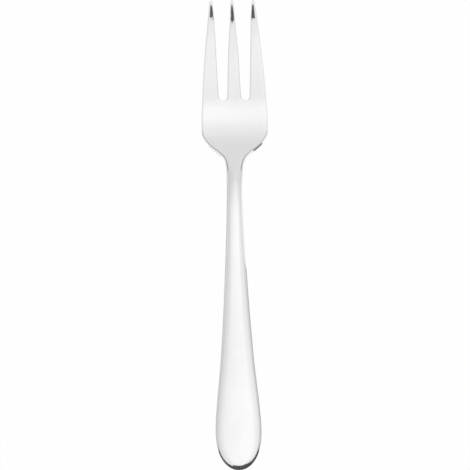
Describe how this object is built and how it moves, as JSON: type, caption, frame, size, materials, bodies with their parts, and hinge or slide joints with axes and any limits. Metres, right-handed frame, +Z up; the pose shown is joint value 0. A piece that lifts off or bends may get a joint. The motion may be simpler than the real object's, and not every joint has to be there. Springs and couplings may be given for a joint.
{
  "type": "pastry fork",
  "caption": "Small polished steel fork with tapering tines, a shallow flared head, a slim arched neck and a rounded handle that widens towards its tail.",
  "frame": {"origin": "on the table that the fork lies on, under the middle of its length and width", "axes": "+Y from the tail of the handle to the points of the tines, +X to the right of the handle seen from above, +Z up"},
  "size_m": [0.0214, 0.15, 0.0131],
  "materials": {
    "steel": "polished"
  },
  "bodies": {
    "root": {"handle": "steel", "neck": "steel", "head": "steel", "left_tine": "steel", "middle_tine": "steel", "right_tine": "steel"}
  },
  "joints": []
}
